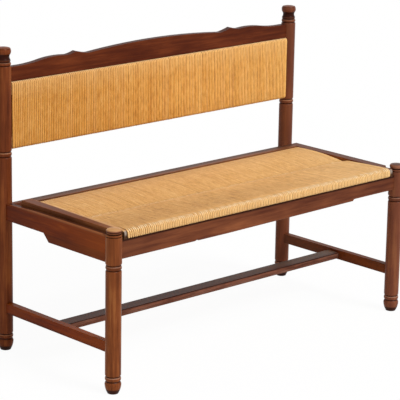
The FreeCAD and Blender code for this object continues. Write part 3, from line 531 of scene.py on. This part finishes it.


# Aprons
# Flat beech boards, planed and stained. The side ones look orange brown in front, and darker to the rear and
# along their lower edge, with a painted highlight along the top edge and painted shadow on the top beside the
# seat frame. The long ones look plum brown, with a dark line under the rush, partly dust and partly painted
# shadow.

side_stops = [(0.2, "4d1903"), (0.5, "762f07"), (0.8, "974911")]
dress(pair("{}_apron"), wood("stained_beech_side_boards", "Y", side_stops, 0.4, [
    (past("Y", 0, 160), 0.4, "400f02"),
    (past("Y", -20, -200), 0.35, "a04e14"),
    (past("Z", 406, 398), 0.4, "2c1208"),
    # Painted highlight along the top edge
    (under_top("left_apron", 6, 1), 0.5, "9c6a48"),
    # Painted shadow on the top, where it lies beside the seat frame
    (both(outward(580, 577), under_top("left_apron", 8, 6)), 0.9, "361810")]))

front_stops = [(0.2, "4d2315"), (0.5, "703d25"), (0.8, "925634")]
dress(["front_apron", "back_apron"], wood("stained_beech_long_boards", "X", front_stops, 0.4, [
    (under_top("front_apron", 38, 4), 0.3, "4a2214"),
    (past("X", -300, -540), 0.25, "4a2a20"),
    # Dark line under the rush, partly dust and partly painted shadow
    (both(in_front, under_top("front_apron", 6, 3.5)), 0.9, "2a1007")]))


# Top rail
# Sawn and stained beech: the darkest board, with painted shade on its top and bottom faces

crest_stops = [(0.2, "3d1307"), (0.5, "56240f"), (0.8, "74381b")]
dress(["crest_rail"], wood("stained_beech_crest", "X", crest_stops, 0.4, [
    # Painted shade on the top and bottom faces
    (top_and_bottom("crest_rail"), 0.8, "3f2018")]))


# Seat frame
# Stained beech, rubbed by hands and knees: it looks mid brown, with pale bare wood in front on the left
# stile and a painted grey highlight on the noses. The back strip is darker towards the rear.

stile_stops = [(0.2, "4d2612"), (0.5, "794525"), (0.8, "a46538")]
stile_top = under_top("seat_stile_left", 2, 0.5)
# Painted highlight on the noses' rounded front
nose_highlight = both(outward(546, 544), past("Y", -244, -245.5), past("Z", 448, 455), past("Z", 464, 462))
dress(pair("seat_stile_{}"), wood("stained_beech_stiles", "Y", stile_stops, 0.38, [
    (stile_top, 0.6, "622a08"),
    (both(on_right, stile_top), 0.35, "3a1c14"),
    (both(past("X", 556, 561), under_top("seat_stile_right", 4.5, 2.5)), 0.5, "2a1418"),
    # Wear on the left stile grows to the front, up to bare wood beside the post and the rush
    (both(on_left, past("Y", -130, -205)), 0.35, "a46d45"),
    (both(on_left, past("Y", -205, -216)), 0.9, "cf9d69"),
    (worn_wedge, 0.9, "cf9d69"),
    # Noses: dark end grain, with a painted highlight on the inner half
    (both(past("Y", -244, -247), past("Z", 463, 461)), 1.0, "4a3020"),
    (nose_highlight, 0.35, "d9ccc0"),
    (both(on_left, nose_highlight), 0.3, "b5a493")]))

strip_stops = [(0.2, "4b2a19"), (0.5, "76482d"), (0.8, "9f6741")]
dress(["seat_back_strip"], wood("stained_beech_strip", "X", strip_stops, 0.38, [
    (past("Y", 154, 168), 0.62, "24140f"),
    (past("X", -250, -540), 0.3, "30180f")]))


# Stretchers
# Stained beech, scuffed by shoes. The end ones look red orange, like the side aprons, the right one with
# painted shade, lifted by painted light on its rear part. The long one looks dull mauve brown, with painted
# grey shade on top and bottom, a painted highlight along its front and a dark arris above that.

end_stops = [(0.2, "481403"), (0.5, "712b07"), (0.8, "91410f")]
dress(pair("{}_stretcher"), wood("stained_beech_end_stretchers", "Y", end_stops, 0.38, [
    (past("Y", 40, 180), 0.3, "400f02"),
    (past("Y", -40, -200), 0.3, "94480f"),
    (past("Z", 126, 119), 0.35, "2c1208"),
    # The right one: painted shade, and painted light where its rear part lies in shadow
    (on_right, 0.5, "4e301a"),
    (both(on_right, past("Y", 0, 100)), 0.4, "7a4a34"),
    (both(on_left, under_top("left_stretcher", 1.5, 0.5)), 0.45, "a8551c")]))

LONG = "long_stretcher"
long_stops = [(0.2, "401f17"), (0.5, "673d2d"), (0.8, "8e6756")]
# Band along the front face that carries the painted highlight
front_highlight_line = both(under_top(LONG, 10.9, 8.9), under_top(LONG, 2.9, 4.9), behind_front(LONG, 2.6, 0.6))
dress([LONG], wood("stained_beech_long_stretcher", "X", long_stops, 0.38, [
    # Painted grey shade on the top and bottom faces, paler and greyer to the right
    (top_and_bottom(LONG), 0.75, "472a1f"),
    (both(top_and_bottom(LONG), past("X", -100, 450)), 0.55, "6d5645"),
    # Painted highlight along the front
    (both(front_highlight_line, grain("X", 0.3, 60, 0.42, 0.58)), 0.2, "c98064"),
    (both(under_top(LONG, 1.4, 0.4), behind_front(LONG, 14.6, 8.6)), 0.7, "4e2a1c"),
    (both(under_top(LONG, 3.4, 1.9), behind_front(LONG, 3.1, 2.1)), 0.75, "2e120c")]))


# Hidden wood and steel
# Bare planed beech looks pale, straw coloured and dull, its dowels a little yellower. Zinc plated steel
# looks light grey with a soft shine.

bare_stops = [(0.2, "9a744b"), (0.5, "b98f60"), (0.8, "d3ad7c")]
rails = ["back_panel_top_rail", "back_panel_bottom_rail", "seat_front_rail", "seat_rear_rail"]
dress(rails, wood("bare_beech_rails", "X", bare_stops, 0.6))
dress(pair("seat_ledger_{}"), wood("bare_beech_ledgers", "Y", bare_stops, 0.6))
dress(["apron_dowels", "crest_dowels", "seat_frame_dowels"], plain("bare_beech_dowels", "c9a578", 0.6))
dress(["ledger_screws", "seat_screws"], plain("zinc_plated_steel", "b9b4a6", 0.35, 1.0))


# Rush seat

# The middle of a cord lies INSET inside its CAD solid, and the stuffing LAYER inside. The turns at the ends
# round off by END_ROUND.
INSET = CORD_THICK / 2
LAYER = CORD_THICK + 0.6 * MM
END_ROUND = 3 * MM

# The seat's turns press against the frame, this far past the solid at the rear and past the stiles' faces.
REAR_SWELL = 0.8 * MM
STILE_SWELL = 0.2 * MM

seat_low, seat_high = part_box("seat_rush")


def seat_loop():
    """Figure of eight round the front and rear rails that crosses itself in the crease.

    The rear crown is a parabola: 4 * height * s * (1 - s) above the straight line from the crease to the rear
    roll, at the share s of that line. The rear roll lies 5.2 mm lower than the front one. The front crown is
    two straight slopes, and below, each half slopes down from the crease to the flat underside.
    """
    front, rear = seat_low.y + INSET, seat_high.y - INSET + REAR_SWELL
    bottom, front_top = seat_low.z + INSET, seat_high.z - INSET
    rear_top = front_top - 5.2 * MM
    low_round, rear_round = 5 * MM, 7 * MM

    height = 5.5 * MM
    share = np.concatenate([[0.06], np.linspace(0.12, 0.96, 8)])
    crown = CREASE + (np.array([rear - rear_round, rear_top]) - CREASE) * share[:, None]
    crown[:, 1] += 4 * height * share * (1 - share)

    crossing, level = CREASE[0], CREASE[1] - 0.5 * MM
    underside = bottom + 4 * MM
    steep_end = np.array([crossing - 24 * MM, front_top - 7.6 * MM])
    steep_middle = (np.array([crossing + 1 * MM, level]) + steep_end) / 2
    return rounded_loop([
        (front, front_top + 0.5 * MM, 12 * MM),
        (front, bottom, low_round),
        (crossing - 22 * MM, underside, 8 * MM),
        (crossing - 1 * MM, level, 0),
        *((across, up, 0) for across, up in crown),
        (rear, rear_top, rear_round),
        (rear, bottom, low_round),
        (crossing + 22 * MM, underside, 8 * MM),
        (crossing + 1 * MM, level, 0),
        (*steep_middle, 0),
        (*steep_end, 30 * MM),
        (crossing - 102 * MM, front_top - 3.2 * MM, 0)])


def end_curve(end):
    """Gives how far the turns near each end move inward, on a quarter circle of radius r.

    At d from the end, and d under r, it is r - sqrt(r ** 2 - (r - d) ** 2). r is END_ROUND.
    """
    def shrink(x):
        left = np.clip(END_ROUND - (end - np.abs(x)), 0, 0.97 * END_ROUND)
        return END_ROUND - np.sqrt(END_ROUND ** 2 - left ** 2)
    return shrink


def roll_lean(x, across, up):
    """The front roll bulges over the left nose: 6 mm * a * b * c to the left, with shares from 0 to 1.

    a rises along X from -430 mm to -530 mm, b from 225 mm to 245 mm in front, c from 441 mm to 447 mm up.
    """
    left = np.clip((-x / MM - 430) / 100, 0, 1)
    front = np.clip((-across / MM - 225) / 20, 0, 1)
    above = np.clip((up / MM - 441) / 6, 0, 1)
    return -6 * MM * left * front * above


loop = seat_loop()
# The cord is pinched to half its width where the halves cross, by 1 - 0.5 * exp(-d ** 2). d is 1 at 9 mm
# across or 5 mm up.
from_crossing = np.linalg.norm((loop - CREASE) / (np.array([9, 5]) * MM), axis=1)
seat_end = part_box("seat_stile_right")[0].x + STILE_SWELL
seat_cord = wound_cord("seat_rush_cord", loop, seat_end, 1 - 0.5 * np.exp(-from_crossing ** 2),
                       end_curve(seat_end), roll_lean)

# Dry twisted rush that has been sat on: straw yellow with split fibres and a dull shine, browner and
# streaked in front of the crease, paler along the crease and on the roll. Painted shade darkens its left
# side, its rear edge and the front to the left, painted light brightens its right side, and a painted
# highlight, partly wear, runs along the roll's upper edge.
crease = CREASE[0] / MM
roll = past("Y", -240, -247)
roll_top = both(past("Y", -238, -246), past("Z", 461, 464))
pale_fibres = grain("Y", 0.14, RUSH_FIBRES, 0.42, 0.58)
sat_on = past("Y", crease + 8, crease - 8)
streaks_in_clouds = both(grain("Y", 0.05, 480, 0.52, 0.66), grain("Y", 0.7, RUSH_CLOUDS, 0.56, 0.46))
seat_stops = [(0.2, "c7914d"), (0.45, "e8b26d"), (0.62, "f5c682"), (0.85, "ffdea7")]
seat_rush = rush("dry_rush_seat", "Y", seat_stops, [
    (both(sat_on, streaks_in_clouds), 0.8, "b8834c"),
    # Painted shade to the left and painted light to the right
    (past("X", 150, -560), 0.2, "b88040"),
    (past("X", 100, 480), 0.2, "f0cf92"),
    # Painted shade along the rear edge, beside the strip
    (past("Y", 70, 125), 0.25, "b07a40"),
    (both(past("Y", crease - 8, crease - 2), past("Y", crease + 8, crease + 2), pale_fibres), 0.5, "f5deb2"),
    # Painted shade in front, to the left
    (both(past("X", 300, 100), past("Y", -90, -150), past("Y", -236, -215)), 0.25, "b08050"),
    (both(roll, pale_fibres), 0.3, "f0d49a"),
    # Painted highlight along the roll's upper edge, partly wear
    (both(roll_top, pale_fibres), 0.6, "f3dab4")], roll, (0.4, 0.5))
seat_cord.data.materials.append(seat_rush)
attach(seat_cord, "root")
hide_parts("seat_rush")

# Stuffing of the same rush, in front of the crease and behind it, that stays clear of the layers of cord
front_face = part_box("seat_front_rail")[1].y + 0.5 * MM
rear_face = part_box("seat_rear_rail")[0].y - 0.5 * MM
base, top = seat_low.z + LAYER, seat_high.z - LAYER
for name, corners in (
        ("seat_rush_front_stuffing", [
            (front_face, base), (-92 * MM, base + 3 * MM), (-72 * MM, 450 * MM),
            (-92 * MM, top - 8.5 * MM), (front_face, top - 2 * MM)]),
        ("seat_rush_rear_stuffing", [
            (-30 * MM, base + 4.5 * MM), (rear_face, base), (rear_face, top - 5 * MM),
            (60 * MM, top - 5.5 * MM), (10 * MM, top - 8.5 * MM), (-34 * MM, 450.5 * MM)])):
    piece = prism(name, corners, -seat_high.x + 5 * MM, seat_high.x - 5 * MM)
    piece.data.materials.append(seat_rush)
    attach(piece, "root")


# Rush back

# The back's turns swell against the posts, this far past their rails' shoulders.
POST_SWELL = 3.5 * MM
BACK_ROUND = 7.5 * MM

back_low, back_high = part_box("back_rush")
front, rear = back_low.y + INSET, back_high.y - INSET
base, top = back_low.z + INSET, back_high.z - INSET
loop = rounded_loop([
    (front, top, BACK_ROUND), (front, base, BACK_ROUND), (rear, base, BACK_ROUND), (rear, top, BACK_ROUND)])
back_end = back_high.x + POST_SWELL
back_cord = wound_cord("back_rush_cord", loop, back_end, np.ones(len(loop)), end_curve(back_end))

# Dry twisted rush that nobody sits on: deeper honey colour, with dark dashes in the grooves, painted shade
# to the left and painted light to the right, paler towards the top, and a painted highlight along the top
# edge
back_stops = [(0.2, "ba792f"), (0.45, "e09e46"), (0.62, "eeb25d"), (0.85, "fac77d")]
back_rush = rush("honey_rush_back", "Z", back_stops, [
    # Painted shade to the left and painted light to the right
    (past("X", 150, -560), 0.38, "a86a20"),
    (past("X", 0, 560), 0.25, "f2c070"),
    (past("Z", 740, 800), 0.22, "f0cf98"),
    # Painted highlight along the top edge
    (past("Z", 798, 800), 0.4, "f3dab4")], lambda tree: 0.0, (0.35, 1.0))
back_cord.data.materials.append(back_rush)
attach(back_cord, "root")
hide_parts("back_rush")

# Filling of the same rush between the layers and the two rails
front, rear = back_low.y + LAYER, back_high.y - LAYER
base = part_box("back_panel_bottom_rail")[1].z + 0.5 * MM
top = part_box("back_panel_top_rail")[0].z - 0.5 * MM
filling = prism("back_rush_filling", [(front, base), (rear, base), (rear, top), (front, top)],
                -back_high.x + 4 * MM, back_high.x - 4 * MM)
filling.data.materials.append(back_rush)
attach(filling, "root")


# Floor, light and camera

FLOOR_REACH = 30.0
FLOOR_WHITENESS = 0.95
WORLD_LIGHT = 0.42
WHITE = (1, 1, 1, 1)


def seen_share(tree, share):
    """The share for camera, glossy and transmission rays, 0 for the rays that light the object."""
    path = add(tree, "LightPath").outputs
    either = add(tree, "Math", {0: path["Is Camera Ray"], 1: path["Is Glossy Ray"]}, operation="MAXIMUM")
    any_ray = add(tree, "Math", {0: either.outputs[0], 1: path["Is Transmission Ray"]}, operation="MAXIMUM")
    return product(tree, any_ray.outputs[0], share)


def white_floor():
    """Matt white paper, whose own colour keeps the shadow; the rest of what is seen is plain white."""
    material, tree = new_material("white_studio_floor")
    paper = add(tree, "BsdfDiffuse", {"Color": WHITE})
    white = add(tree, "Emission", {"Color": WHITE, "Strength": 1.0})
    whiteness = seen_share(tree, FLOOR_WHITENESS)
    mix = add(tree, "MixShader", {0: whiteness, 1: paper.outputs[0], 2: white.outputs[0]})
    add(tree, "OutputMaterial", {"Surface": mix.outputs[0]})
    return material


def white_world():
    """Plain white where it is seen, with a weaker, slightly warm light on the object."""
    world = bpy.data.worlds.new("white_studio")
    bpy.context.scene.world = world
    world.use_nodes = True
    tree = world.node_tree
    tree.nodes.clear()
    seen = add(tree, "Background", {"Color": WHITE, "Strength": 1.0})
    light = add(tree, "Background", {"Color": linear("fffdf8"), "Strength": WORLD_LIGHT})
    mix = add(tree, "MixShader", {0: seen_share(tree, 1.0), 1: light.outputs[0], 2: seen.outputs[0]})
    add(tree, "OutputWorld", {"Surface": mix.outputs[0]})


def towards(azimuth, elevation):
    """Unit vector to a place at that azimuth, counted as in the views, and elevation, in degrees."""
    a, e = math.radians(azimuth), math.radians(elevation)
    return Vector((math.sin(a) * math.cos(e), -math.cos(a) * math.cos(e), math.sin(e)))


def sun(name, azimuth, elevation, strength, angle):
    """Soft lamp far away. Angle is how wide it looks from the bench, in degrees."""
    lamp = bpy.data.lights.new(name, "SUN")
    lamp.energy = strength
    lamp.angle = math.radians(angle)
    thing = bpy.data.objects.new(name, lamp)
    thing.rotation_mode = "QUATERNION"
    thing.rotation_quaternion = towards(azimuth, elevation).to_track_quat("Z", "Y")
    bpy.context.scene.collection.objects.link(thing)


def place_camera(azimuth, elevation, roll, place, lens, shift):
    """Camera at place that looks from that azimuth and elevation, turned by roll, all three in degrees."""
    back = towards(azimuth, elevation)
    turn = math.radians(azimuth)
    right = Vector((math.cos(turn), math.sin(turn), 0))
    up = back.cross(right)
    roll = math.radians(roll)
    turned_right = right * math.cos(roll) + up * math.sin(roll)
    turned_up = up * math.cos(roll) - right * math.sin(roll)
    data = bpy.data.cameras.new("camera")
    data.lens = lens
    data.sensor_width = 36
    data.shift_x, data.shift_y = shift
    data.clip_start = 0.1
    data.clip_end = 100
    camera = bpy.data.objects.new("camera", data)
    bpy.context.scene.collection.objects.link(camera)
    facing = Matrix((turned_right, turned_up, back)).transposed().to_4x4()
    camera.matrix_world = Matrix.Translation(place) @ facing
    bpy.context.scene.camera = camera


corners = [(-FLOOR_REACH, -FLOOR_REACH, 0), (FLOOR_REACH, -FLOOR_REACH, 0),
           (FLOOR_REACH, FLOOR_REACH, 0), (-FLOOR_REACH, FLOOR_REACH, 0)]
mesh = bpy.data.meshes.new("floor")
mesh.from_pydata(corners, [], [(0, 1, 2, 3)])
floor = bpy.data.objects.new("floor", mesh)
bpy.context.scene.collection.objects.link(floor)
mesh.materials.append(white_floor())

white_world()
sun("key_light", azimuth=12, elevation=48, strength=2.4, angle=25)

# Fitted to the posts, aprons and stretchers of the photograph
place_camera(azimuth=-42.838, elevation=15.217, roll=0.899, place=(-4.039711, -4.265831, 1.985883),
             lens=182.73, shift=(0.0347, 0.0138))
bpy.context.scene.view_settings.view_transform = "Standard"
